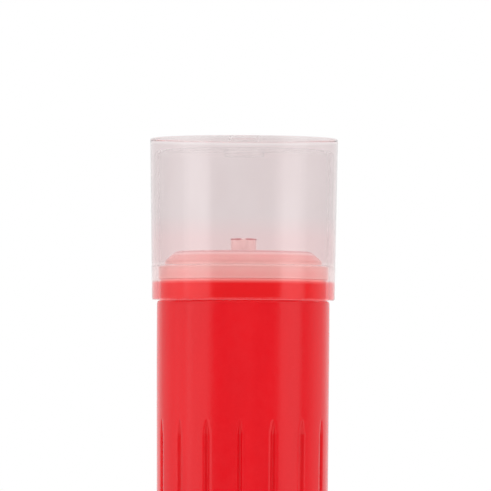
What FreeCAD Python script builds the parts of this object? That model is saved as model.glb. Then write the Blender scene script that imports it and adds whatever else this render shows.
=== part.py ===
import FreeCAD, Part
import math
import os

# Refill cartridge for a free-ink marker. It stands on its closed rear end, nozzle up.
# Millimetres. The Z axis is the cartridge's axis, and z = 0 is the face it stands on.

AXIS = FreeCAD.Vector(0, 0, 1)
CENTRE = FreeCAD.Vector(0, 0, 0)

# Overall
TOTAL_HEIGHT = 70.0
CAP_LENGTH = 14.05
BARREL_R = 7.5
RUNNING_GAP = 0.08  # radial gap between the flange and the cap's skirt
STOP_GAP = 0.05  # axial gap between faces that meet when the cap is pushed home

# Roundings that recur on moulded edges
SHARP = 0
FINE = 0.08
EDGE = 0.15
SOFT = 0.3

# Cap
CAP_TOP_R = 8.17
CAP_RIM_R = 7.94
CAP_TOP_WALL = 1.0
CAP_SIDE_WALL = 0.75
GATE_WELL_R = 1.1
GATE_WELL_DEPTH = 0.2
GATE_BOSS_R = 1.75
GATE_BOSS_DROP = 0.6
CAP_ROOF_ROUNDING = 0.5
CAP_RIM_Z = TOTAL_HEIGHT - CAP_LENGTH

# Barrel
SHOULDER_Z = CAP_RIM_Z - STOP_GAP
NECK_R = 7.2
NECK_HEIGHT = 1.85
LAND_LENGTH = 4.2  # parallel length below the shoulder, before the draft starts
DRAFT_DEG = 0.35
BORE_R = 6.35
BORE_FLOOR_R = 6.1
FLOOR_WALL = 1.1
REAR_ROUNDING = 1.0
REAR_RECESS_R = 3.2
REAR_RECESS_DEPTH = 0.5
REAR_RECESS_SLOPE = 0.3
SHOULDER_ROUNDING = 0.25
BORE_FLOOR_ROUNDING = 1.2
NECK_TOP_Z = SHOULDER_Z + NECK_HEIGHT
LAND_BOTTOM_Z = SHOULDER_Z - LAND_LENGTH
BARREL_REAR_R = BARREL_R - LAND_BOTTOM_Z * math.tan(math.radians(DRAFT_DEG))
BORE_FLOOR_Z = REAR_RECESS_DEPTH + FLOOR_WALL

# Grip grooves, cut lengthwise into the barrel and open at its rear end
GROOVE_COUNT = 16
GROOVE_WIDTH = 0.5
GROOVE_DEPTH = 0.22
GROOVE_RUN_OUT = 1.3  # length over which a groove tapers to a point at its front end
GROOVE_TOP_BELOW_RIM = 10.3
GROOVE_TURN_DEG = -1.75  # how far the foremost groove stands from the -Y direction
GROOVE_OVERRUN = 1.0  # length by which the cutter passes the rear end

# Mouthpiece
FLANGE_THICKNESS = 1.15
FLANGE_R = 7.35
DISC_R = 6.8
DISC_FLAT_R = 5.85
DISC_SIDE_HEIGHT = 0.45
DISC_HEIGHT = 1.3
DISC_WALL = 0.6
DISC_SHOULDER_ROUNDING = 1.0
DISC_EDGE_ROUNDING = 0.4
DISC_HOLLOW_ROUNDING = 0.6
PLUG_R = 6.2
PLUG_INNER_R = 5.5
PLUG_LENGTH = 4.6
BEAD_R = BORE_R - 0.01  # the beads all but touch the bore
BEAD_HALF_FLAT = 0.1
BEAD_HALF_BASE = 0.3
BEAD_DROPS = (1.2, 2.9)  # sealing beads, measured down from the flange
NOZZLE_R = 1.1
NOZZLE_BORE_R = 0.6
NOZZLE_HEIGHT = 1.1
CHAMBER_R = 1.9
CHAMBER_TUBE_R = 2.6
CHAMBER_BOTTOM_Z = 50.6
NOZZLE_PASSAGE = 1.6  # length of the nozzle's bore below the disc's top
FLANGE_TOP_Z = NECK_TOP_Z + FLANGE_THICKNESS
DISC_TOP_Z = FLANGE_TOP_Z + DISC_HEIGHT
NOZZLE_TOP_Z = DISC_TOP_Z + NOZZLE_HEIGHT
SEAT_Z = DISC_TOP_Z - NOZZLE_PASSAGE

# Valve, closed
VALVE_TRAVEL = 1.2
GASKET_R = 1.45
GASKET_THICKNESS = 0.5
STEM_PIN_R = 0.42
STEM_TIP_RECESS = 0.3
STEM_COLLAR_R = 1.5
STEM_COLLAR_THICKNESS = 0.6
STEM_TAIL_R = 0.5
STEM_TAIL_PROJECTION = 0.2  # how far the tail passes the cage when the valve is fully open
FLUTE_COUNT = 4
FLUTE_R = 0.16
GUIDE_GAP = 0.05
GUIDE_R = STEM_TAIL_R + GUIDE_GAP
PRESS_GAP = 0.02
CAGE_PLUG_R = CHAMBER_R - PRESS_GAP
CAGE_PLUG_LENGTH = 2.4
CAGE_FLANGE_R = 2.4
CAGE_FLANGE_THICKNESS = 0.4
PORT_COUNT = 4
PORT_R = 0.32
PORT_CIRCLE_R = 1.22
SPRING_MEAN_R = 1.3
SPRING_WIRE_R = 0.14
SPRING_WIRE_SIDES = 12
SPRING_TURNS = 5.5
SPRING_END_GAP = 0.03
COLLAR_TOP_Z = SEAT_Z - GASKET_THICKNESS
COLLAR_BOTTOM_Z = COLLAR_TOP_Z - STEM_COLLAR_THICKNESS
CAGE_TOP_Z = CHAMBER_BOTTOM_Z + CAGE_PLUG_LENGTH
CAGE_BOTTOM_Z = CHAMBER_BOTTOM_Z - CAGE_FLANGE_THICKNESS
STEM_TAIL_Z = CAGE_BOTTOM_Z + VALVE_TRAVEL - STEM_TAIL_PROJECTION

# Ink
INK_GAP = 0.02
INK_LEVEL_Z = 49.8


def rounded_corner(before, corner, after, rounding):
    """The arc's start, middle and end where two straight edges meet in a rounding."""
    back = (before - corner).normalize()
    onward = (after - corner).normalize()
    half_angle = back.getAngle(onward) / 2
    cut = rounding / math.tan(half_angle)
    bisector = (back + onward).normalize()
    middle = corner + bisector * (rounding / math.sin(half_angle) - rounding)
    return corner + back * cut, middle, corner + onward * cut


def turned(corners):
    """Solid of revolution about Z from a closed outline of (radius, height, rounding) corners."""
    points = [FreeCAD.Vector(radius, 0, height) for radius, height, _ in corners]
    arcs = []
    for index, corner in enumerate(points):
        rounding = corners[index][2]
        if rounding:
            after = points[(index + 1) % len(points)]
            arcs.append(rounded_corner(points[index - 1], corner, after, rounding))
        else:
            arcs.append((corner, None, corner))
    edges = []
    for index, (start, middle, end) in enumerate(arcs):
        previous_end = arcs[index - 1][2]
        edges.append(Part.makeLine(previous_end, start))
        if middle is not None:
            edges.append(Part.Arc(start, middle, end).toShape())
    face = Part.Face(Part.Wire(edges))
    return face.revolve(CENTRE, AXIS, 360)


def ring_of(shape, count, first_turn_deg=0.0):
    """Copies of a shape, spaced evenly about Z."""
    copies = []
    for index in range(count):
        copy = shape.copy()
        copy.rotate(CENTRE, AXIS, first_turn_deg + index * 360 / count)
        copies.append(copy)
    return copies


def cap():
    """Closed tapered cap with a thinner skirt, whose ledge stops on the mouthpiece's flange."""
    skirt_inner_r = FLANGE_R + RUNNING_GAP
    ledge_z = FLANGE_TOP_Z + STOP_GAP
    roof_z = TOTAL_HEIGHT - CAP_TOP_WALL
    taper = (CAP_TOP_R - CAP_RIM_R) / CAP_LENGTH
    roof_inner_r = CAP_TOP_R - taper * CAP_TOP_WALL - CAP_SIDE_WALL
    ledge_inner_r = CAP_RIM_R + taper * (ledge_z - CAP_RIM_Z) - CAP_SIDE_WALL
    well_z = TOTAL_HEIGHT - GATE_WELL_DEPTH
    boss_z = roof_z - GATE_BOSS_DROP
    return turned([
        (0, well_z, SHARP),
        (GATE_WELL_R, well_z, SHARP),
        (GATE_WELL_R + GATE_WELL_DEPTH, TOTAL_HEIGHT, FINE),
        (CAP_TOP_R, TOTAL_HEIGHT, SOFT),
        (CAP_RIM_R, CAP_RIM_Z, EDGE),
        (skirt_inner_r, CAP_RIM_Z, EDGE),
        (skirt_inner_r, ledge_z, SHARP),
        (ledge_inner_r, ledge_z, FINE),
        (roof_inner_r, roof_z, CAP_ROOF_ROUNDING),
        (GATE_BOSS_R, roof_z, EDGE),
        (GATE_BOSS_R, boss_z, EDGE),
        (0, boss_z, SHARP),
    ])


def groove_cutter():
    """Round-bottomed cutter along one grip groove, on the +X side, with a pointed front end."""
    cutter_r = (GROOVE_WIDTH ** 2 / 4 + GROOVE_DEPTH ** 2) / (2 * GROOVE_DEPTH)
    outset = cutter_r - GROOVE_DEPTH
    draft = math.tan(math.radians(DRAFT_DEG))
    point_z = CAP_RIM_Z - GROOVE_TOP_BELOW_RIM
    full_z = point_z - GROOVE_RUN_OUT

    def on_surface(z):
        return FreeCAD.Vector(BARREL_R - (LAND_BOTTOM_Z - z) * draft + outset, 0, z)

    rear = on_surface(-GROOVE_OVERRUN)
    full = on_surface(full_z)
    point = on_surface(point_z)
    length = (full - rear).Length
    straight = Part.makeCylinder(cutter_r, length, rear, full - rear)
    run_out = Part.makeCone(cutter_r, outset, (point - full).Length, full, point - full)
    return straight.fuse(run_out)


def barrel():
    """Tube with a closed rear end, a neck for the cap and the mouthpiece, and grip grooves."""
    tube = turned([
        (0, REAR_RECESS_DEPTH, SHARP),
        (REAR_RECESS_R - REAR_RECESS_SLOPE, REAR_RECESS_DEPTH, EDGE),
        (REAR_RECESS_R, 0, EDGE),
        (BARREL_REAR_R, 0, REAR_ROUNDING),
        (BARREL_R, LAND_BOTTOM_Z, SHARP),
        (BARREL_R, SHOULDER_Z, SHOULDER_ROUNDING),
        (NECK_R, SHOULDER_Z, SHARP),
        (NECK_R, NECK_TOP_Z, FINE),
        (BORE_R, NECK_TOP_Z, SHARP),
        (BORE_R, CHAMBER_BOTTOM_Z, SHARP),
        (BORE_FLOOR_R, BORE_FLOOR_Z, BORE_FLOOR_ROUNDING),
        (0, BORE_FLOOR_Z, SHARP),
    ])
    return tube.cut(ring_of(groove_cutter(), GROOVE_COUNT, GROOVE_TURN_DEG - 90))


def plug_beads():
    """Outline corners of the sealing beads on the mouthpiece's plug, from the flange down."""
    corners = []
    for drop in BEAD_DROPS:
        middle_z = NECK_TOP_Z - drop
        corners += [
            (PLUG_R, middle_z + BEAD_HALF_BASE, SHARP),
            (BEAD_R, middle_z + BEAD_HALF_FLAT, SHARP),
            (BEAD_R, middle_z - BEAD_HALF_FLAT, SHARP),
            (PLUG_R, middle_z - BEAD_HALF_BASE, SHARP),
        ]
    return corners


def mouthpiece():
    """Flanged plug with a raised hollow disc, a nozzle, and the valve chamber's tube inside."""
    plug_bottom_z = NECK_TOP_Z - PLUG_LENGTH
    disc_edge_z = FLANGE_TOP_Z + DISC_SIDE_HEIGHT
    roof_z = DISC_TOP_Z - DISC_WALL
    return turned([
        (NOZZLE_BORE_R, NOZZLE_TOP_Z, FINE),
        (NOZZLE_R, NOZZLE_TOP_Z, FINE),
        (NOZZLE_R, DISC_TOP_Z, FINE),
        (DISC_FLAT_R, DISC_TOP_Z, DISC_SHOULDER_ROUNDING),
        (DISC_R, disc_edge_z, DISC_EDGE_ROUNDING),
        (DISC_R, FLANGE_TOP_Z, FINE),
        (FLANGE_R, FLANGE_TOP_Z, EDGE),
        (FLANGE_R, NECK_TOP_Z, FINE),
        (PLUG_R, NECK_TOP_Z, SHARP),
        *plug_beads(),
        (PLUG_R, plug_bottom_z, SOFT),
        (PLUG_INNER_R, plug_bottom_z, EDGE),
        (PLUG_INNER_R, roof_z, DISC_HOLLOW_ROUNDING),
        (CHAMBER_TUBE_R, roof_z, SOFT),
        (CHAMBER_TUBE_R, CHAMBER_BOTTOM_Z, EDGE),
        (CHAMBER_R, CHAMBER_BOTTOM_Z, FINE),
        (CHAMBER_R, SEAT_Z, SHARP),
        (NOZZLE_BORE_R, SEAT_Z, FINE),
    ])


def valve_stem():
    """Push stem: fluted pin in the nozzle, collar behind the gasket, and a guided tail."""
    tip_z = NOZZLE_TOP_Z - STEM_TIP_RECESS
    stem = turned([
        (0, tip_z, SHARP),
        (STEM_PIN_R, tip_z, EDGE),
        (STEM_PIN_R, COLLAR_TOP_Z, SHARP),
        (STEM_COLLAR_R, COLLAR_TOP_Z, SHARP),
        (STEM_COLLAR_R, COLLAR_BOTTOM_Z, FINE),
        (STEM_TAIL_R, COLLAR_BOTTOM_Z, EDGE),
        (STEM_TAIL_R, STEM_TAIL_Z, EDGE),
        (0, STEM_TAIL_Z, SHARP),
    ])
    flute_foot = FreeCAD.Vector(STEM_PIN_R, 0, SEAT_Z)
    flute = Part.makeCylinder(FLUTE_R, tip_z, flute_foot)
    return stem.cut(ring_of(flute, FLUTE_COUNT))


def valve_gasket():
    """Rubber ring round the stem's pin, between its collar and the seat."""
    return turned([
        (STEM_PIN_R, COLLAR_TOP_Z, SHARP),
        (GASKET_R, COLLAR_TOP_Z, EDGE),
        (GASKET_R, SEAT_Z, EDGE),
        (STEM_PIN_R, SEAT_Z, SHARP),
    ])


def valve_spring():
    """Compression spring between the cage and the stem's collar, its wire a many-sided section."""
    bottom_z = CAGE_TOP_Z + SPRING_WIRE_R + SPRING_END_GAP
    height = COLLAR_BOTTOM_Z - SPRING_WIRE_R - SPRING_END_GAP - bottom_z
    pitch = height / SPRING_TURNS
    path = Part.makeHelix(pitch, height, SPRING_MEAN_R)
    path.translate(AXIS * bottom_z)
    start = FreeCAD.Vector(SPRING_MEAN_R, 0, bottom_z)
    outward = FreeCAD.Vector(1, 0, 0)
    along = FreeCAD.Vector(0, math.tau * SPRING_MEAN_R, pitch).normalize()
    across = along.cross(outward)
    corners = []
    for index in range(SPRING_WIRE_SIDES + 1):
        angle = index * math.tau / SPRING_WIRE_SIDES
        offset = outward * math.cos(angle) + across * math.sin(angle)
        corners.append(start + offset * SPRING_WIRE_R)
    section = Part.makePolygon(corners)
    return Part.Wire(path.Edges).makePipeShell([section], True, True)


def spring_cage():
    """Flanged retainer pressed into the chamber, with a guide hole and ink ports."""
    body = turned([
        (GUIDE_R, CAGE_TOP_Z, SHARP),
        (CAGE_PLUG_R, CAGE_TOP_Z, EDGE),
        (CAGE_PLUG_R, CHAMBER_BOTTOM_Z, SHARP),
        (CAGE_FLANGE_R, CHAMBER_BOTTOM_Z, FINE),
        (CAGE_FLANGE_R, CAGE_BOTTOM_Z, FINE),
        (GUIDE_R, CAGE_BOTTOM_Z, SHARP),
    ])
    port_foot = FreeCAD.Vector(PORT_CIRCLE_R, 0, CAGE_BOTTOM_Z)
    port = Part.makeCylinder(PORT_R, CAGE_TOP_Z - CAGE_BOTTOM_Z, port_foot)
    return body.cut(ring_of(port, PORT_COUNT))


def ink():
    """Ink charge: it fills the bore up to an air space below the valve."""
    bore_slope = (BORE_R - BORE_FLOOR_R) / (CHAMBER_BOTTOM_Z - BORE_FLOOR_Z)
    floor_z = BORE_FLOOR_Z + INK_GAP
    level_r = BORE_FLOOR_R + bore_slope * (INK_LEVEL_Z - BORE_FLOOR_Z) - INK_GAP
    return turned([
        (0, floor_z, SHARP),
        (BORE_FLOOR_R - INK_GAP, floor_z, BORE_FLOOR_ROUNDING),
        (level_r, INK_LEVEL_Z, SHARP),
        (0, INK_LEVEL_Z, SHARP),
    ])


PIECES = {
    "cap": cap,
    "mouthpiece": mouthpiece,
    "barrel": barrel,
    "valve_stem": valve_stem,
    "valve_gasket": valve_gasket,
    "valve_spring": valve_spring,
    "spring_cage": spring_cage,
    "ink": ink,
}


def main():
    os.makedirs("parts", exist_ok=True)
    for name, make in PIECES.items():
        shape = make()
        print(f"{name}: {shape.Volume:.2f} mm3, valid {shape.isValid()}, {len(shape.Solids)} solid")
        shape.exportStep(f"parts/{name}.step")


main()
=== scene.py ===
import bmesh
import bpy
import math
from mathutils import Matrix, Vector


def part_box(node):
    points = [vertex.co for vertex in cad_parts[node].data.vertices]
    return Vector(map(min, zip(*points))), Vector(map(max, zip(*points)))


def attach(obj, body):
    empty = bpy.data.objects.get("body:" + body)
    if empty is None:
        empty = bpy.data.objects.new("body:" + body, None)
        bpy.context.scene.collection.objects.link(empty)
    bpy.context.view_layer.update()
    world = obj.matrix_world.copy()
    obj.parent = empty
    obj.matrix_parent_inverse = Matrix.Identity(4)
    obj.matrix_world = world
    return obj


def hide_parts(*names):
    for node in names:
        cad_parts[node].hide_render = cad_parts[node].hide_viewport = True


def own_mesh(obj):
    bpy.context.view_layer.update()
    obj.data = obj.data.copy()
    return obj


# Marker ink refill cartridge, standing on its closed rear end with its cap on.
# Blender's unit is the metre, and lengths below are given in millimetres times MM.

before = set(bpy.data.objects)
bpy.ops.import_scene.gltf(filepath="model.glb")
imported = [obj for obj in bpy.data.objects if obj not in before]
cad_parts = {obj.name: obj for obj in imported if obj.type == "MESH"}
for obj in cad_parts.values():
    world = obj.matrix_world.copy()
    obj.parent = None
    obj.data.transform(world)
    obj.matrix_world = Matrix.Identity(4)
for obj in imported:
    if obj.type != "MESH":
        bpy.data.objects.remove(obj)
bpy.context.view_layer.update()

MM = 0.001
TURN = 2 * math.pi

# Mesh fineness
COLUMNS = 256  # round a whole turn of a turned piece
ARC_STEPS = 6  # faces across a rounding
SUPPORT = 0.02 * MM  # distance of the extra loop beside an edge, which keeps flats flat
BAR_COLUMNS = 16  # round the section of a swept bar

# Roundings that recur on moulded edges
SHARP = 0.0
TINY = 0.03 * MM
FINE = 0.08 * MM
EDGE = 0.15 * MM
SOFT = 0.3 * MM

# Places read from the frame
CAP_LOW, CAP_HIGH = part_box("cap")
MOUTH_LOW, MOUTH_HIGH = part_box("mouthpiece")
BARREL_LOW, BARREL_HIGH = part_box("barrel")
STEM_LOW, STEM_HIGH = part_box("valve_stem")
GASKET_LOW, GASKET_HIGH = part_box("valve_gasket")
SPRING_LOW, SPRING_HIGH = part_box("valve_spring")
TOP_Z = CAP_HIGH[2]
RIM_Z = CAP_LOW[2]
CAP_TOP_R = CAP_HIGH[0]
NOZZLE_TOP_Z = MOUTH_HIGH[2]
CHAMBER_BOTTOM_Z = MOUTH_LOW[2]
FLANGE_R = MOUTH_HIGH[0]
NECK_TOP_Z = BARREL_HIGH[2]
BARREL_R = BARREL_HIGH[0]
SEAT_Z = GASKET_HIGH[2]
COLLAR_TOP_Z = GASKET_LOW[2]

# Cap
CAP_RIM_R = 7.94 * MM
CAP_ROOF_WALL = 1.0 * MM
CAP_SIDE_WALL = 0.75 * MM
CAP_SKIRT_R = FLANGE_R + 0.08 * MM
GATE_WELL_R = 1.1 * MM
GATE_WELL_DEPTH = 0.2 * MM
GATE_BOSS_R = 1.75 * MM
GATE_BOSS_DROP = 0.6 * MM
CAP_ROOF_ROUNDING = 0.5 * MM
CAP_SKIN_R = 7.5 * MM  # the cap's inner faces lie inside this radius, and its side outside it

# Mouthpiece
FLANGE_TOP_Z = NECK_TOP_Z + 1.15 * MM
CAP_LEDGE_Z = FLANGE_TOP_Z + 0.05 * MM  # the cap's ledge, which stops just above the flange
DISC_TOP_Z = FLANGE_TOP_Z + 1.3 * MM
DISC_EDGE_Z = FLANGE_TOP_Z + 0.45 * MM
DISC_R = 6.8 * MM
DISC_FLAT_R = 5.85 * MM
DISC_TOP_ROUNDING = 1.0 * MM
DISC_EDGE_ROUNDING = 0.4 * MM
DISC_WALL = 0.6 * MM
DISC_INNER_ROUNDING = 0.6 * MM
PLUG_R = 6.2 * MM
PLUG_INNER_R = 5.5 * MM
PLUG_LENGTH = 4.6 * MM
BEAD_R = 6.34 * MM
BEAD_HALF_FLAT = 0.1 * MM
BEAD_HALF_BASE = 0.3 * MM
BEAD_DROPS = (1.2 * MM, 2.9 * MM)
NOZZLE_R = 1.1 * MM
NOZZLE_BORE_R = 0.6 * MM
CHAMBER_R = 1.9 * MM
CHAMBER_TUBE_R = 2.6 * MM

# Barrel
SHOULDER_Z = RIM_Z - 0.05 * MM
SHOULDER_ROUNDING = 0.25 * MM
NECK_R = 7.2 * MM
LAND_BOTTOM_Z = SHOULDER_Z - 4.2 * MM
DRAFT = math.tan(math.radians(0.35))
BORE_R = 6.35 * MM
BORE_FLOOR_R = 6.1 * MM
BORE_FLOOR_Z = 1.6 * MM
BORE_FLOOR_ROUNDING = 1.2 * MM
REAR_ROUNDING = 1.0 * MM
REAR_RECESS_R = 3.2 * MM
REAR_RECESS_SLOPE = 0.3 * MM
REAR_RECESS_DEPTH = 0.5 * MM

# Grip grooves
GROOVE_COUNT = 16
GROOVE_HALF_WIDTH = 0.25 * MM
GROOVE_DEPTH = 0.22 * MM
GROOVE_POINT_Z = RIM_Z - 10.3 * MM
GROOVE_RUN_OUT = 1.3 * MM
GROOVE_TURN = math.radians(-90 - 1.75)  # angle of the foremost groove, from +X
GROOVE_BOTTOM_POWER = 2.4  # a higher one flattens the bottom
GROOVE_EDGE_POWER = 1.4  # a higher one eases the edges more
GROOVE_STEPS = 16  # columns across one groove
LAND_STEPS = 10  # columns between two grooves
GROOVE_MIN_SHARE = 0.15  # narrowest spacing of a groove's columns past its point
RUN_OUT_STEPS = 10  # rows along a groove's run-out
REAR_ROWS = 10  # rows from the rear rounding up to the run-outs
REAR_ROW_SPACING = 4.0 * MM

# Valve stem
STEM_PIN_R = 0.42 * MM
STEM_COLLAR_R = 1.5 * MM
STEM_COLLAR_THICKNESS = 0.6 * MM
STEM_COLLAR_BOTTOM_Z = COLLAR_TOP_Z - STEM_COLLAR_THICKNESS
STEM_TAIL_R = 0.5 * MM
FLUTE_COUNT = 4
FLUTE_DEPTH = 0.15 * MM
FLUTE_POWER = 8  # a higher one narrows the flutes

# Valve spring
SPRING_MEAN_R = 1.3 * MM
SPRING_WIRE_R = 0.14 * MM
SPRING_TURNS = 7.0
SPRING_DEAD_TURNS = 1.0  # closed turns at each end
SPRING_STEPS = 64  # stations per turn

# Beads of ink on the nozzle's mouth
INK_BEAD_R = 1.01 * MM
INK_BEAD_DROP = 0.06 * MM  # of the bead's middle below the mouth
INK_BEAD_HALF_WIDTH = 0.13 * MM
INK_BEAD_HALF_HEIGHT = 0.09 * MM
INK_BEAD_HALF_ANGLE = math.radians(88)
INK_BEAD_END_POWER = 12  # a higher one blunts the ends
INK_BEAD_WAVE = 0.12  # share by which the bead swells and thins
INK_BEAD_WAVE_ANGLE = 5  # radians of that wave from the bead's middle to its end
INK_BEAD_STEPS = 48

# Floor
FLOOR_RADIUS = 400 * MM
FLOOR_FADE_START = 90 * MM
FLOOR_COLUMNS = 96

# World
WORLD_SEEN = (1.0, 1.0, 1.0, 1)
WORLD_SOFT = (0.74, 0.74, 0.74, 1)  # what lights matt surfaces
WORLD_FRONT = (0.12, 0.12, 0.12, 1)  # this and the rest are what gloss mirrors, by direction
WORLD_SIDE = (0.62, 0.62, 0.62, 1)
WORLD_LEFT = (0.9, 0.9, 0.9, 1)
WORLD_BRIGHT = (0.94, 0.94, 0.94, 1)

# Lights and camera
LIGHT_AIM = Vector((0, 0, TOP_Z - 14 * MM))  # level with the cap's rim
LIGHT_BOUNCES = 32
CAMERA_DISTANCE = 600 * MM
CAMERA_LOOKS_UP = math.radians(1.4)
CAMERA_ROLL = math.radians(0.3)
SENSOR_WIDTH = 36.0
FRAME_WIDTH = 42.67 * MM  # width seen at the cartridge's axis
FRAME_CENTRE_DROP = 9.28 * MM  # of the picture's middle below the cap's top
FRAME_CENTRE_X = 0.17 * MM

# Colours, as linear red, green, blue and alpha
UNTINTED = (1, 1, 1, 1)
CAP_PALE = (0.805, 0.71, 0.715, 1)
CAP_CLOUDED = (0.78, 0.675, 0.68, 1)
# Painted light in the cap's tint: a painted highlight at the top corner and just above the ledge,
# painted shade just under the ledge, and painted red light where the nozzle, flange and neck stand
# inside.
CAP_PAINTED_CORNER_HIGHLIGHT = (1.0, 0.97, 0.97, 1)
CAP_PAINTED_GLOW_BY_NOZZLE = (0.84, 0.65, 0.655, 1)
CAP_PAINTED_GLOW_BY_FLANGE = (0.96, 0.76, 0.755, 1)
CAP_PAINTED_HIGHLIGHT_OVER_LEDGE = (1.0, 0.92, 0.92, 1)
CAP_PAINTED_SHADE_UNDER_LEDGE = (0.70, 0.48, 0.48, 1)
CAP_PAINTED_GLOW_BY_NECK = (0.96, 0.24, 0.245, 1)
MOUTH_PINK = (0.97, 0.49, 0.47, 1)
MOUTH_CLOUDED = (0.95, 0.52, 0.49, 1)
MOUTH_FLANGE = (1.0, 0.65, 0.62, 1)
# Painted highlight along the flange's top and bottom edges.
MOUTH_PAINTED_FLANGE_EDGE_HIGHLIGHT = (1.0, 0.75, 0.72, 1)
MOUTH_DISC = (0.99, 0.70, 0.70, 1)
# Painted shade along the disc's top corner.
MOUTH_PAINTED_DISC_CORNER_SHADE = (0.76, 0.40, 0.40, 1)
MOUTH_NOZZLE = (0.98, 0.80, 0.78, 1)
RED = (0.76, 0.004, 0.010, 1)
RED_FLOW = (0.72, 0.003, 0.009, 1)
RED_FLECK = (0.78, 0.007, 0.014, 1)
# Painted light on the neck: the neck painted lighter than the barrel's red, a painted highlight
# along its lip, and another at its foot under the cap's rim.
RED_NECK_PAINTED_LIGHTER = (0.87, 0.032, 0.042, 1)
RED_NECK_PAINTED_LIP_HIGHLIGHT = (1.0, 0.50, 0.47, 1)
RED_NECK_PAINTED_FOOT_HIGHLIGHT = (1.0, 0.25, 0.28, 1)
ACETAL = (0.80, 0.76, 0.73, 1)
ACETAL_CLOUDED = (0.72, 0.66, 0.63, 1)
RUBBER = (0.018, 0.017, 0.017, 1)
RUBBER_BLOOM = (0.06, 0.055, 0.055, 1)
WIRE = (0.62, 0.61, 0.59, 1)
WIRE_MARKED = (0.45, 0.44, 0.43, 1)
INK = (0.42, 0.004, 0.012, 1)
INK_DENSE = (0.27, 0.002, 0.008, 1)
# Colour of the ink beads on the nozzle's mouth: partly ink and partly painted shade along the
# mouth's edge.
INK_AND_PAINTED_SHADE_ON_NOZZLE = (0.62, 0.34, 0.35, 1)
FLOOR_PALE = (0.90, 0.90, 0.90, 1)
FLOOR_CLOUDED = (0.87, 0.87, 0.87, 1)


# ---------------------------------------------------------------- mesh making


def rounding_points(before, corner, after, rounding):
    """Points along the arc that rounds a corner, with a supporting point either side."""
    back = (before - corner).normalized()
    onward = (after - corner).normalized()
    half_angle = back.angle(onward) / 2
    cut = rounding / math.tan(half_angle)
    centre = corner + (back + onward).normalized() * (rounding / math.sin(half_angle))
    start = corner + back * cut
    sweep = (start - centre).angle_signed(corner + onward * cut - centre)
    points = [start + back * SUPPORT]
    for step in range(ARC_STEPS + 1):
        spoke = (start - centre).copy()
        spoke.rotate(Matrix.Rotation(-sweep * step / ARC_STEPS, 2))
        points.append(centre + spoke)
    points.append(corner + onward * (cut + SUPPORT))
    return points


def outline(corners):
    """(radius, height) points along a closed outline of (radius, height, rounding) corners."""
    places = [Vector((radius, height)) for radius, height, _ in corners]
    points = []
    for index, corner in enumerate(places):
        before = places[index - 1]
        after = places[(index + 1) % len(places)]
        rounding = corners[index][2]
        if rounding:
            points += rounding_points(before, corner, after, rounding)
        elif corner.x == 0:
            points.append(corner)
        else:
            points += [
                corner + (before - corner).normalized() * SUPPORT,
                corner,
                corner + (after - corner).normalized() * SUPPORT,
            ]
    return points


def mesh_object(name, vertices, faces):
    """Smooth-shaded mesh object from vertices and faces, with its faces turned outward."""
    mesh = bpy.data.meshes.new(name)
    mesh.from_pydata(vertices, [], faces)
    mesh.validate()
    shell = bmesh.new()
    shell.from_mesh(mesh)
    bmesh.ops.recalc_face_normals(shell, faces=shell.faces)
    shell.to_mesh(mesh)
    shell.free()
    mesh.shade_smooth()
    made = bpy.data.objects.new(name, mesh)
    bpy.context.scene.collection.objects.link(made)
    return made


def ring_faces(rings, closed):
    """Quads between neighbouring rings of vertex numbers, and fans where a ring is one vertex."""
    faces = []
    pairs = list(zip(rings, rings[1:]))
    if closed:
        pairs.append((rings[-1], rings[0]))
    for lower, upper in pairs:
        for index in range(max(len(lower), len(upper))):
            corners = [
                lower[index % len(lower)],
                lower[(index + 1) % len(lower)],
                upper[(index + 1) % len(upper)],
                upper[index % len(upper)],
            ]
            faces.append(tuple(dict.fromkeys(corners)))
    return [face for face in faces if len(face) > 2]


def circle(column, radius, _height):
    """Radius and angle of a column of a plain round piece."""
    return radius, TURN * column / COLUMNS


def turned(name, corners, columns=COLUMNS, shape=circle):
    """Piece turned about Z. shape gives the radius and angle of each (column, radius, height)."""
    points = outline(corners)
    closed = points[0].x > 0
    vertices = []
    rings = []
    for point in points:
        ring = []
        for column in range(columns if point.x > 0 else 1):
            radius, angle = shape(column, point.x, point.y)
            ring.append(len(vertices))
            vertices.append((radius * math.cos(angle), radius * math.sin(angle), point.y))
        rings.append(ring)
    return mesh_object(name, vertices, ring_faces(rings, closed))


def in_place(piece, node, body, material):
    """Puts a finished piece in the place of a CAD node."""
    piece.data.materials.append(material)
    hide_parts(node)
    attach(piece, body)
    return piece


# ---------------------------------------------------------------- materials


def add(tree, kind, inputs, **settings):
    """Adds a node. Each input is given by name or number, as a value or as a socket to link."""
    made = tree.nodes.new(kind)
    for name, value in settings.items():
        setattr(made, name, value)
    for name, value in inputs.items():
        if isinstance(value, bpy.types.NodeSocket):
            tree.links.new(value, made.inputs[name])
        else:
            made.inputs[name].default_value = value
    return made


def start_material(name, **plain):
    """New material with its shader's plain values set, and its object coordinates."""
    made = bpy.data.materials.new(name)
    made.use_nodes = True
    tree = made.node_tree
    shader = tree.nodes["Principled BSDF"]
    for socket, value in plain.items():
        shader.inputs[socket.replace("_", " ")].default_value = value
    place = add(tree, "ShaderNodeTexCoord", {}).outputs["Object"]
    return made, tree, shader, place


def noise(tree, place, size, detail=3.0, stretch=1.0):
    """Noise of a feature size in metres, drawn out along Z by stretch."""
    scale = (1 / size, 1 / size, 1 / (size * stretch))
    spread = add(tree, "ShaderNodeVectorMath", {0: place, 1: scale}, operation="MULTIPLY")
    inputs = {"Vector": spread.outputs[0], "Scale": 1.0, "Detail": detail}
    return add(tree, "ShaderNodeTexNoise", inputs).outputs["Fac"]


def remap(tree, value, low, high, to_low=0.0, to_high=1.0):
    """Clamped linear map of a value."""
    inputs = {"Value": value, "From Min": low, "From Max": high, "To Min": to_low, "To Max": to_high}
    return add(tree, "ShaderNodeMapRange", inputs).outputs["Result"]


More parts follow.
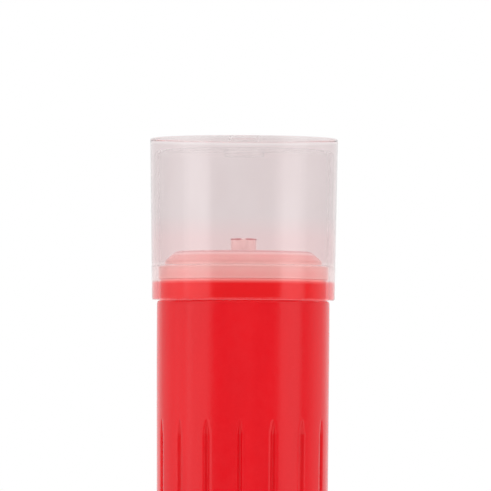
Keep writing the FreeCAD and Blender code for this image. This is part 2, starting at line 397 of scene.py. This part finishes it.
def mix(tree, share, first, second):
    """Colour between two colours."""
    blend = add(tree, "ShaderNodeMix", {0: share, 6: first, 7: second}, data_type="RGBA")
    return blend.outputs[2]


def layered(tree, colour, layers):
    """A colour with (share, colour) layers laid over it in turn."""
    for share, over in layers:
        colour = mix(tree, share, colour, over)
    return colour


def patches(tree, place, size, low, high, **kind):
    """Noise of a feature size, from 0 where it is under low to 1 where it is over high."""
    return remap(tree, noise(tree, place, size, **kind), low, high)


def above(tree, value, edge, fade):
    """0 up to an edge of a value, rising to 1 over a fade past it."""
    return remap(tree, value, edge, edge + fade)


def below(tree, value, edge, fade):
    """1 up to an edge of a value, falling to 0 over a fade past it."""
    return remap(tree, value, edge, edge + fade, 1, 0)


def size_of(tree, value):
    """A value without its sign."""
    return add(tree, "ShaderNodeMath", {0: value}, operation="ABSOLUTE").outputs[0]


def larger(tree, first, second):
    """The larger of two values."""
    return add(tree, "ShaderNodeMath", {0: first, 1: second}, operation="MAXIMUM").outputs[0]


def total(tree, first, second, second_share=1.0):
    """first + second * second_share."""
    inputs = {0: second, 1: second_share, 2: first}
    return add(tree, "ShaderNodeMath", inputs, operation="MULTIPLY_ADD").outputs[0]


def band(tree, value, middle, half_width, share=1.0):
    """Rises from 0 to share and back across a band of a value."""
    inputs = {0: value, 1: middle}
    offset = add(tree, "ShaderNodeMath", inputs, operation="SUBTRACT").outputs[0]
    return remap(tree, size_of(tree, offset), 0, half_width, share, 0)


def height_of(tree, place):
    """The Z coordinate on the piece."""
    return add(tree, "ShaderNodeSeparateXYZ", {0: place}).outputs["Z"]


def distance_of(tree, place):
    """Distance of a place from the origin."""
    return add(tree, "ShaderNodeVectorMath", {0: place}, operation="LENGTH").outputs["Value"]


def radius_of(tree, place):
    """Distance of a place from the Z axis."""
    inputs = {0: place, 1: (1, 1, 0)}
    outward = add(tree, "ShaderNodeVectorMath", inputs, operation="MULTIPLY").outputs[0]
    return distance_of(tree, outward)


def finish(tree, shader, colour, roughness):
    """Gives a shader its colour and roughness."""
    tree.links.new(colour, shader.inputs["Base Color"])
    tree.links.new(roughness, shader.inputs["Roughness"])


def bump(tree, shader, height, depth):
    """Bump of a depth in metres on a shader."""
    inputs = {"Height": height, "Distance": depth, "Strength": 1.0}
    tree.links.new(add(tree, "ShaderNodeBump", inputs).outputs["Normal"], shader.inputs["Normal"])


def cap_tint_with_painted_light(tree, cloud, height):
    """The cap's tint, with painted red light from the red parts that stand inside it further down,
    and painted highlight and shade bands at the ledge and the top corner.
    """
    return layered(tree, mix(tree, cloud, CAP_PALE, CAP_CLOUDED), [
        # Painted red light, standing in for the red the cap picks up from the nozzle, flange and
        # neck inside it.
        (below(tree, height, NOZZLE_TOP_Z, fade=2 * MM), CAP_PAINTED_GLOW_BY_NOZZLE),
        (below(tree, height, FLANGE_TOP_Z - 0.1 * MM, fade=0.4 * MM), CAP_PAINTED_GLOW_BY_FLANGE),
        # Painted highlight just above the ledge, and painted shade just under it.
        (band(tree, height, CAP_LEDGE_Z + 0.12 * MM, 0.14 * MM, share=0.5), CAP_PAINTED_HIGHLIGHT_OVER_LEDGE),
        (band(tree, height, CAP_LEDGE_Z - 0.2 * MM, 0.18 * MM, share=0.35), CAP_PAINTED_SHADE_UNDER_LEDGE),
        (below(tree, height, NECK_TOP_Z - 0.3 * MM, fade=0.2 * MM), CAP_PAINTED_GLOW_BY_NECK),
        # Painted highlight along the top corner.
        (band(tree, height, TOP_Z - 0.15 * MM, 0.2 * MM, share=0.8), CAP_PAINTED_CORNER_HIGHLIGHT),
    ])


def cap_skin(tree, place, height):
    """1 on the cap's outer side and flat top, and 0 on its inner faces."""
    side = above(tree, radius_of(tree, place), CAP_SKIN_R, fade=0.2 * MM)
    roof = above(tree, height, TOP_Z - 0.08 * MM, fade=0.06 * MM)
    return larger(tree, side, roof)


def frosted_clear():
    """Natural polypropylene, moulded thin: clear, with a warm tint that its outer skin carries, and
    painted red light, highlights and shade laid into that tint.
    """
    made, tree, shader, place = start_material(
        "frosted_clear", Transmission_Weight=1.0, IOR=1.06, Coat_Weight=0.75, Coat_IOR=1.5,
        Coat_Roughness=0.14)
    height = height_of(tree, place)
    cloud = patches(tree, place, 3.0 * MM, low=0.35, high=0.65, stretch=2.5)
    # This tint carries the cap's painted red light, highlights and shade.
    tint = mix(tree, cap_skin(tree, place, height), UNTINTED, cap_tint_with_painted_light(tree, cloud, height))
    grain = noise(tree, place, 0.12 * MM, detail=2.0)
    haze = total(tree, remap(tree, cloud, 0, 1, to_low=0.08, to_high=0.12), grain, second_share=0.03)
    finish(tree, shader, tint, haze)
    wave = noise(tree, place, 2.2 * MM, detail=1.0, stretch=3.0)
    bump(tree, shader, total(tree, wave, grain, second_share=0.12), depth=0.0012 * MM)
    return made


def natural_mouthpiece():
    """Natural polypropylene that the red ink behind it shows through, least at the nozzle, with
    painted highlights along the flange's edges and painted shade along the disc's top corner.
    """
    made, tree, shader, place = start_material(
        "natural_mouthpiece", Transmission_Weight=0.05, IOR=1.62)
    height = height_of(tree, place)
    cloud = patches(tree, place, 1.6 * MM, low=0.3, high=0.7)
    # Painted highlights along the flange's top and bottom edges.
    top_edge_highlight = band(tree, height, FLANGE_TOP_Z + 0.08 * MM, 0.25 * MM, share=0.6)
    bottom_edge_highlight = band(tree, height, NECK_TOP_Z, 0.2 * MM, share=0.5)
    colour = layered(tree, mix(tree, cloud, MOUTH_PINK, MOUTH_CLOUDED), [
        (band(tree, height, FLANGE_TOP_Z, 0.7 * MM, share=0.5), MOUTH_FLANGE),
        (above(tree, height, DISC_TOP_Z - 0.45 * MM, fade=0.2 * MM), MOUTH_DISC),
        (above(tree, height, DISC_TOP_Z, fade=0.1 * MM), MOUTH_NOZZLE),
        # Painted shade along the disc's top corner, then the painted highlights along the flange's
        # edges.
        (band(tree, height, DISC_TOP_Z - 0.1 * MM, 0.15 * MM), MOUTH_PAINTED_DISC_CORNER_SHADE),
        (total(tree, top_edge_highlight, bottom_edge_highlight), MOUTH_PAINTED_FLANGE_EDGE_HIGHLIGHT),
    ])
    grain = noise(tree, place, 0.1 * MM, detail=2.0)
    finish(tree, shader, colour, remap(tree, grain, 0.3, 0.7, to_low=0.2, to_high=0.28))
    bump(tree, shader, grain, depth=0.003 * MM)
    return made


def red_moulded():
    """Red polypropylene with a fine spark-eroded mould texture and faint flow marks; its neck is
    painted lighter, with painted highlights along its lip and at its foot.
    """
    made, tree, shader, place = start_material("red_moulded", IOR=1.42)
    height = height_of(tree, place)
    flow = patches(tree, place, 2.6 * MM, low=0.35, high=0.65, stretch=4.0)
    fleck = noise(tree, place, 0.25 * MM, detail=4.0)
    colour = layered(tree, mix(tree, flow, RED, RED_FLOW), [
        (remap(tree, fleck, 0.4, 0.75, to_high=0.35), RED_FLECK),
        # The neck is painted lighter than the barrel's red, with a painted highlight along its lip
        # and another at its foot, under the cap's rim.
        (above(tree, height, SHOULDER_Z - 0.01 * MM, fade=0.01 * MM), RED_NECK_PAINTED_LIGHTER),
        (above(tree, height, NECK_TOP_Z - 0.45 * MM, fade=0.37 * MM), RED_NECK_PAINTED_LIP_HIGHLIGHT),
        (band(tree, height, SHOULDER_Z + 0.06 * MM, 0.1 * MM), RED_NECK_PAINTED_FOOT_HIGHLIGHT),
    ])
    grain = noise(tree, place, 0.16 * MM, detail=3.0)
    blotch = noise(tree, place, 0.7 * MM, detail=2.0)
    rough = remap(tree, blotch, 0.3, 0.7, to_low=0.14, to_high=0.2)
    finish(tree, shader, colour, total(tree, rough, grain, second_share=0.06))
    bump(tree, shader, total(tree, grain, blotch, second_share=0.8), depth=0.006 * MM)
    return made


def white_moulded():
    """White acetal of the small valve parts."""
    made, tree, shader, place = start_material("white_moulded", IOR=1.48)
    cloud = patches(tree, place, 0.8 * MM, low=0.3, high=0.7)
    colour = mix(tree, cloud, ACETAL, ACETAL_CLOUDED)
    grain = noise(tree, place, 0.08 * MM)
    finish(tree, shader, colour, remap(tree, grain, 0.3, 0.7, to_low=0.3, to_high=0.42))
    bump(tree, shader, grain, depth=0.002 * MM)
    return made


def black_rubber():
    """Matt black rubber with a dusty bloom."""
    made, tree, shader, place = start_material("black_rubber", IOR=1.52)
    bloom = patches(tree, place, 0.3 * MM, low=0.45, high=0.75, detail=5.0)
    colour = mix(tree, bloom, RUBBER, RUBBER_BLOOM)
    finish(tree, shader, colour, remap(tree, bloom, 0, 1, to_low=0.55, to_high=0.8))
    bump(tree, shader, bloom, depth=0.004 * MM)
    return made


def drawn_wire():
    """Stainless spring wire with die marks."""
    made, tree, shader, place = start_material("drawn_wire", Metallic=1.0)
    mark = patches(tree, place, 0.05 * MM, low=0.35, high=0.7, detail=4.0)
    colour = mix(tree, mark, WIRE, WIRE_MARKED)
    finish(tree, shader, colour, remap(tree, mark, 0, 1, to_low=0.22, to_high=0.4))
    bump(tree, shader, mark, depth=0.002 * MM)
    return made


def wet_ink():
    """Dark red ink with denser pigment in places; on the nozzle, above the disc, it takes a paler
    colour that is partly ink and partly painted shade along the nozzle's mouth.
    """
    made, tree, shader, place = start_material("wet_ink", IOR=1.36)
    density = patches(tree, place, 0.4 * MM, low=0.35, high=0.7, detail=3.0)
    colour = mix(tree, density, INK, INK_DENSE)
    # Above the disc the beads take a paler colour, partly ink and partly painted shade along the
    # nozzle's mouth.
    ink_and_painted_shade_on_nozzle = above(tree, height_of(tree, place), DISC_TOP_Z, fade=0.3 * MM)
    colour = mix(tree, ink_and_painted_shade_on_nozzle, colour, INK_AND_PAINTED_SHADE_ON_NOZZLE)
    finish(tree, shader, colour, remap(tree, density, 0, 1, to_low=0.06, to_high=0.18))
    bump(tree, shader, density, depth=0.003 * MM)
    return made


def pale_floor():
    """Matt pale floor that fades out towards the horizon."""
    made, tree, shader, place = start_material("pale_floor", IOR=1.4)
    cloud = patches(tree, place, 60 * MM, low=0.3, high=0.7)
    colour = mix(tree, cloud, FLOOR_PALE, FLOOR_CLOUDED)
    finish(tree, shader, colour, remap(tree, cloud, 0, 1, to_low=0.75, to_high=0.9))
    opacity = remap(tree, distance_of(tree, place), FLOOR_FADE_START, FLOOR_RADIUS, 1, 0)
    tree.links.new(opacity, shader.inputs["Alpha"])
    return made


# ---------------------------------------------------------------- pieces


def make_cap():
    """Closed tapered cap, with a thinner skirt below the ledge that stops over the flange."""
    taper = (CAP_TOP_R - CAP_RIM_R) / (TOP_Z - RIM_Z)
    roof_z = TOP_Z - CAP_ROOF_WALL
    roof_r = CAP_TOP_R - taper * CAP_ROOF_WALL - CAP_SIDE_WALL
    ledge_r = CAP_RIM_R + taper * (CAP_LEDGE_Z - RIM_Z) - CAP_SIDE_WALL
    piece = turned("cap_shell", [
        (0, TOP_Z - GATE_WELL_DEPTH, SHARP),
        (GATE_WELL_R, TOP_Z - GATE_WELL_DEPTH, FINE),
        (GATE_WELL_R + GATE_WELL_DEPTH, TOP_Z, FINE),
        (CAP_TOP_R, TOP_Z, EDGE),
        (CAP_RIM_R, RIM_Z, EDGE),
        (CAP_SKIRT_R, RIM_Z, EDGE),
        (CAP_SKIRT_R, CAP_LEDGE_Z, FINE),
        (ledge_r, CAP_LEDGE_Z, FINE),
        (roof_r, roof_z, CAP_ROOF_ROUNDING),
        (GATE_BOSS_R, roof_z, EDGE),
        (GATE_BOSS_R, roof_z - GATE_BOSS_DROP, EDGE),
        (0, roof_z - GATE_BOSS_DROP, SHARP),
    ])
    piece.visible_shadow = False  # clear plastic casts next to no shadow
    return in_place(piece, "cap", "cap", frosted_clear())


def plug_beads():
    """Outline corners of the sealing beads on the mouthpiece's plug, from the flange down."""
    corners = []
    for drop in BEAD_DROPS:
        middle_z = NECK_TOP_Z - drop
        corners += [
            (PLUG_R, middle_z + BEAD_HALF_BASE, FINE),
            (BEAD_R, middle_z + BEAD_HALF_FLAT, FINE),
            (BEAD_R, middle_z - BEAD_HALF_FLAT, FINE),
            (PLUG_R, middle_z - BEAD_HALF_BASE, FINE),
        ]
    return corners


def make_mouthpiece():
    """Flanged plug with a raised hollow disc, a nozzle, and the valve chamber's tube inside."""
    plug_bottom_z = NECK_TOP_Z - PLUG_LENGTH
    roof_z = DISC_TOP_Z - DISC_WALL
    piece = turned("mouthpiece_plug", [
        (NOZZLE_BORE_R, NOZZLE_TOP_Z, FINE),
        (NOZZLE_R, NOZZLE_TOP_Z, FINE),
        (NOZZLE_R, DISC_TOP_Z, FINE),
        (DISC_FLAT_R, DISC_TOP_Z, DISC_TOP_ROUNDING),
        (DISC_R, DISC_EDGE_Z, DISC_EDGE_ROUNDING),
        (DISC_R, FLANGE_TOP_Z, FINE),
        (FLANGE_R, FLANGE_TOP_Z, EDGE),
        (FLANGE_R, NECK_TOP_Z, TINY),
        (PLUG_R, NECK_TOP_Z, FINE),
        *plug_beads(),
        (PLUG_R, plug_bottom_z, SOFT),
        (PLUG_INNER_R, plug_bottom_z, EDGE),
        (PLUG_INNER_R, roof_z, DISC_INNER_ROUNDING),
        (CHAMBER_TUBE_R, roof_z, SOFT),
        (CHAMBER_TUBE_R, CHAMBER_BOTTOM_Z, EDGE),
        (CHAMBER_R, CHAMBER_BOTTOM_Z, FINE),
        (CHAMBER_R, SEAT_Z, FINE),
        (NOZZLE_BORE_R, SEAT_Z, FINE),
    ])
    return in_place(piece, "mouthpiece", "barrel", natural_mouthpiece())


def groove_share(height):
    """How far a groove has opened at a height: 0 above its point, 1 below its run-out."""
    return min(1.0, max(0.0, (GROOVE_POINT_Z - height) / GROOVE_RUN_OUT))


def barrel_shape(column, radius, height):
    """Radius and angle of a barrel column, whose columns crowd together across each groove."""
    per_groove = GROOVE_STEPS + LAND_STEPS
    groove, step = divmod(column, per_groove)
    pitch = TURN / GROOVE_COUNT
    share = groove_share(height)
    half_angle = GROOVE_HALF_WIDTH * max(share, GROOVE_MIN_SHARE) / BARREL_R
    middle = GROOVE_TURN + groove * pitch
    if step > GROOVE_STEPS:
        across = (step - GROOVE_STEPS) / LAND_STEPS
        return radius, middle + half_angle + across * (pitch - 2 * half_angle)
    offset = 2 * step / GROOVE_STEPS - 1
    hollow = (1 - abs(offset) ** GROOVE_BOTTOM_POWER) ** GROOVE_EDGE_POWER
    wall_line = BARREL_R - max(0.0, LAND_BOTTOM_Z - height) * DRAFT
    if share:
        radius = min(radius, wall_line - GROOVE_DEPTH * share * hollow)
    return radius, middle + offset * half_angle


def barrel_wall_corners():
    """Corners up the drafted wall from the rear rounding, closer together where grooves start."""
    heights = [1.5 * REAR_ROUNDING + row * REAR_ROW_SPACING for row in range(REAR_ROWS)]
    for step in range(RUN_OUT_STEPS + 1):
        heights.append(GROOVE_POINT_Z - GROOVE_RUN_OUT * (1 - step / RUN_OUT_STEPS))
    return [(BARREL_R - (LAND_BOTTOM_Z - height) * DRAFT, height, SHARP) for height in heights]


def make_barrel():
    """Red tube with a closed rear end, a neck for the cap, and grip grooves open at the rear."""
    rear_r = BARREL_R - LAND_BOTTOM_Z * DRAFT
    piece = turned("barrel_tube", [
        (0, REAR_RECESS_DEPTH, SHARP),
        (REAR_RECESS_R - REAR_RECESS_SLOPE, REAR_RECESS_DEPTH, EDGE),
        (REAR_RECESS_R, 0, EDGE),
        (rear_r, 0, REAR_ROUNDING),
        *barrel_wall_corners(),
        (BARREL_R, LAND_BOTTOM_Z, SHARP),
        (BARREL_R, SHOULDER_Z, SHOULDER_ROUNDING),
        (NECK_R, SHOULDER_Z, SHARP),
        (NECK_R, NECK_TOP_Z, TINY),
        (BORE_R, NECK_TOP_Z, FINE),
        (BORE_R, CHAMBER_BOTTOM_Z, SHARP),
        (BORE_FLOOR_R, BORE_FLOOR_Z, BORE_FLOOR_ROUNDING),
        (0, BORE_FLOOR_Z, SHARP),
    ], columns=GROOVE_COUNT * (GROOVE_STEPS + LAND_STEPS), shape=barrel_shape)
    return in_place(piece, "barrel", "barrel", red_moulded())


def stem_shape(column, radius, height):
    """Radius and angle of a stem column, with flutes along the pin above the seat."""
    angle = TURN * column / COLUMNS
    if height > SEAT_Z:
        flute = FLUTE_DEPTH * math.cos(FLUTE_COUNT * angle / 2) ** FLUTE_POWER
        radius -= flute * radius / STEM_PIN_R
    return radius, angle


def make_valve_stem():
    """Push stem: fluted pin in the nozzle, collar behind the gasket, and a guided tail."""
    piece = turned("stem_pin", [
        (0, STEM_HIGH[2], SHARP),
        (STEM_PIN_R, STEM_HIGH[2], EDGE),
        (STEM_PIN_R, SEAT_Z + FINE, SHARP),
        (STEM_PIN_R, COLLAR_TOP_Z, SHARP),
        (STEM_COLLAR_R, COLLAR_TOP_Z, FINE),
        (STEM_COLLAR_R, STEM_COLLAR_BOTTOM_Z, FINE),
        (STEM_TAIL_R, STEM_COLLAR_BOTTOM_Z, EDGE),
        (STEM_TAIL_R, STEM_LOW[2], EDGE),
        (0, STEM_LOW[2], SHARP),
    ], shape=stem_shape)
    return in_place(piece, "valve_stem", "valve", white_moulded())


def make_valve_gasket():
    """Rubber ring round the stem's pin."""
    piece = turned("gasket_ring", [
        (STEM_PIN_R, COLLAR_TOP_Z, SHARP),
        (GASKET_HIGH[0], COLLAR_TOP_Z, EDGE),
        (GASKET_HIGH[0], SEAT_Z, EDGE),
        (STEM_PIN_R, SEAT_Z, SHARP),
    ])
    return in_place(piece, "valve_gasket", "valve", black_rubber())


def swept(name, stations, low_z, high_z):
    """Bar swept round Z, cut off flat below low_z and above high_z.

    Each station gives an angle, the centre's radius and height, and the half width and height.
    """
    vertices = []
    rings = []
    for angle, centre_r, centre_z, half_width, half_height in stations:
        ring = []
        for column in range(BAR_COLUMNS):
            around = TURN * column / BAR_COLUMNS
            radius = centre_r + half_width * math.cos(around)
            height = centre_z + half_height * math.sin(around)
            ring.append(len(vertices))
            vertices.append((radius * math.cos(angle), radius * math.sin(angle),
                             min(max(height, low_z), high_z)))
        rings.append(ring)
    faces = ring_faces(rings, closed=False)
    faces += [tuple(rings[0]), tuple(rings[-1])]
    return mesh_object(name, vertices, faces)


def spring_height(turn, low_z, high_z):
    """Height of the wire's centre after a number of turns: closed at both ends, open between."""
    closed = 2 * SPRING_WIRE_R * SPRING_DEAD_TURNS
    open_turns = SPRING_TURNS - 2 * SPRING_DEAD_TURNS
    rise = high_z - low_z - 2 * closed
    first = min(turn, SPRING_DEAD_TURNS) / SPRING_DEAD_TURNS
    middle = min(max(turn - SPRING_DEAD_TURNS, 0), open_turns) / open_turns
    last = max(turn - SPRING_DEAD_TURNS - open_turns, 0) / SPRING_DEAD_TURNS
    return low_z + closed * (first + last) + rise * middle


def make_valve_spring():
    """Compression spring with closed, ground ends, built at one fixed length."""
    low_z, high_z = SPRING_LOW[2], SPRING_HIGH[2]
    stations = []
    for step in range(int(SPRING_TURNS * SPRING_STEPS) + 1):
        turn = step / SPRING_STEPS
        centre_z = spring_height(turn, low_z, high_z)
        stations.append((TURN * turn, SPRING_MEAN_R, centre_z, SPRING_WIRE_R, SPRING_WIRE_R))
    piece = swept("spring_coil", stations, low_z, high_z)
    in_place(piece, "valve_spring", "barrel", drawn_wire())
    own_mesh(piece)
    return piece


def make_ink_bead(name, middle):
    """Bead of ink left standing along one side of the nozzle's mouth, thinning to its ends; its
    paler colour is partly painted shade along the mouth's edge.
    """
    middle_z = NOZZLE_TOP_Z - INK_BEAD_DROP
    stations = []
    for step in range(1, INK_BEAD_STEPS):
        along = 2 * step / INK_BEAD_STEPS - 1
        wave = INK_BEAD_WAVE * math.sin(INK_BEAD_WAVE_ANGLE * along + middle)
        fullness = (1 - along ** INK_BEAD_END_POWER) * (1 + wave)
        stations.append((middle + along * INK_BEAD_HALF_ANGLE, INK_BEAD_R, middle_z,
                         INK_BEAD_HALF_WIDTH * fullness, INK_BEAD_HALF_HEIGHT * fullness))
    piece = swept(name, stations, 0, TOP_Z)
    piece.data.materials.append(bpy.data.materials["wet_ink"])
    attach(piece, "barrel")
    return piece


def dress_cad_node(node, material):
    """Gives a CAD node that stays as it is a better material."""
    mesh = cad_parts[node].data
    mesh.materials.clear()
    mesh.materials.append(material)


def make_pieces():
    """Everything that the object is made of, in Blender's detail."""
    make_cap()
    make_mouthpiece()
    make_barrel()
    make_valve_stem()
    make_valve_gasket()
    make_valve_spring()
    dress_cad_node("spring_cage", bpy.data.materials["white_moulded"])
    dress_cad_node("ink", wet_ink())
    make_ink_bead("ink_bead_right", 0.0)
    make_ink_bead("ink_bead_left", math.pi)


# ---------------------------------------------------------------- stage, lights and camera


def make_floor():
    """Round floor at the height of the cartridge's rear end."""
    rim = []
    for column in range(FLOOR_COLUMNS):
        angle = TURN * column / FLOOR_COLUMNS
        rim.append((FLOOR_RADIUS * math.cos(angle), FLOOR_RADIUS * math.sin(angle), BARREL_LOW[2]))
    floor = mesh_object("floor", rim, [tuple(range(FLOOR_COLUMNS))])
    floor.data.materials.append(pale_floor())


def straight_through(tree):
    """1 for a ray that has come only through clear plastic on its way here, and 0 otherwise."""
    rays = add(tree, "ShaderNodeLightPath", {}).outputs
    bounces = total(tree, rays["Glossy Depth"], rays["Diffuse Depth"])
    return remap(tree, bounces, 0, 1, rays["Is Transmission Ray"], 0)


def make_world():
    """Surroundings that look white, light matt surfaces evenly, and that gloss mirrors darker."""
    world = bpy.data.worlds.new("studio")
    world.use_nodes = True
    world.cycles.sampling_method = "NONE"  # sampled as a lamp, it would ignore the kind of ray
    bpy.context.scene.world = world
    tree = world.node_tree
    direction = add(tree, "ShaderNodeTexCoord", {}).outputs["Generated"]
    axes = add(tree, "ShaderNodeSeparateXYZ", {0: direction}).outputs
    rear = above(tree, axes["Y"], edge=0.7, fade=0.22)
    steep = above(tree, size_of(tree, axes["Z"]), edge=0.2, fade=0.3)
    rays = add(tree, "ShaderNodeLightPath", {}).outputs
    colour = layered(tree, WORLD_FRONT, [
        (above(tree, axes["Y"], edge=-0.1, fade=0.45), WORLD_SIDE),
        (below(tree, axes["X"], edge=-0.985, fade=0.035), WORLD_LEFT),
        (larger(tree, rear, steep), WORLD_BRIGHT),
        (rays["Diffuse Depth"], WORLD_SOFT),
        (larger(tree, rays["Is Camera Ray"], straight_through(tree)), WORLD_SEEN),
    ])
    tree.links.new(colour, tree.nodes["Background"].inputs["Color"])


def softbox(name, azimuth, elevation, distance, width, height, radiance, in_gloss=True):
    """Rectangular soft light. Azimuth 0 is on the camera's side, and 90 to the camera's right."""
    data = bpy.data.lights.new(name, "AREA")
    data.shape = "RECTANGLE"
    data.size = width
    data.size_y = height
    data.energy = radiance * math.pi * width * height
    lamp = bpy.data.objects.new(name, data)
    bpy.context.scene.collection.objects.link(lamp)
    turn, lift = math.radians(azimuth), math.radians(elevation)
    outward = Vector((math.sin(turn) * math.cos(lift), -math.cos(turn) * math.cos(lift),
                      math.sin(lift)))
    lamp.location = LIGHT_AIM + outward * distance
    lamp.rotation_euler = outward.to_track_quat("Z", "Y").to_euler()
    lamp.visible_camera = False
    lamp.visible_glossy = in_gloss
    lamp.visible_transmission = in_gloss
    return lamp


def make_lights():
    """A tall softbox each side of the lens, and soft fill from the front and from overhead."""
    softbox("left_softbox", azimuth=-61, elevation=6, distance=0.42,
            width=0.28, height=0.62, radiance=0.9)
    softbox("right_softbox", azimuth=66, elevation=6, distance=0.42,
            width=0.26, height=0.62, radiance=0.9)
    softbox("front_fill", azimuth=0, elevation=10, distance=0.60,
            width=0.30, height=0.30, radiance=1.2, in_gloss=False)
    softbox("overhead", azimuth=180, elevation=78, distance=0.55,
            width=0.60, height=0.60, radiance=1.6, in_gloss=False)


def make_camera():
    """Long lens a little below the cap, looking slightly up at the front end."""
    data = bpy.data.cameras.new("camera")
    data.sensor_width = SENSOR_WIDTH
    data.lens = SENSOR_WIDTH * CAMERA_DISTANCE / FRAME_WIDTH
    camera = bpy.data.objects.new("camera", data)
    bpy.context.scene.collection.objects.link(camera)
    target = Vector((FRAME_CENTRE_X, 0, TOP_Z - FRAME_CENTRE_DROP))
    back = Vector((0, -math.cos(CAMERA_LOOKS_UP), -math.sin(CAMERA_LOOKS_UP)))
    camera.location = target + back * CAMERA_DISTANCE
    turn = back.to_track_quat("Z", "Y").to_matrix() @ Matrix.Rotation(CAMERA_ROLL, 3, "Z")
    camera.rotation_euler = turn.to_euler()
    bpy.context.scene.camera = camera


def set_light_paths():
    """Lets light cross the clear cap as often as it needs to."""
    paths = bpy.context.scene.cycles
    paths.max_bounces = LIGHT_BOUNCES
    paths.glossy_bounces = LIGHT_BOUNCES
    paths.transmission_bounces = LIGHT_BOUNCES


make_pieces()
make_floor()
make_world()
make_lights()
make_camera()
bpy.context.scene.view_settings.view_transform = "Standard"
set_light_paths()
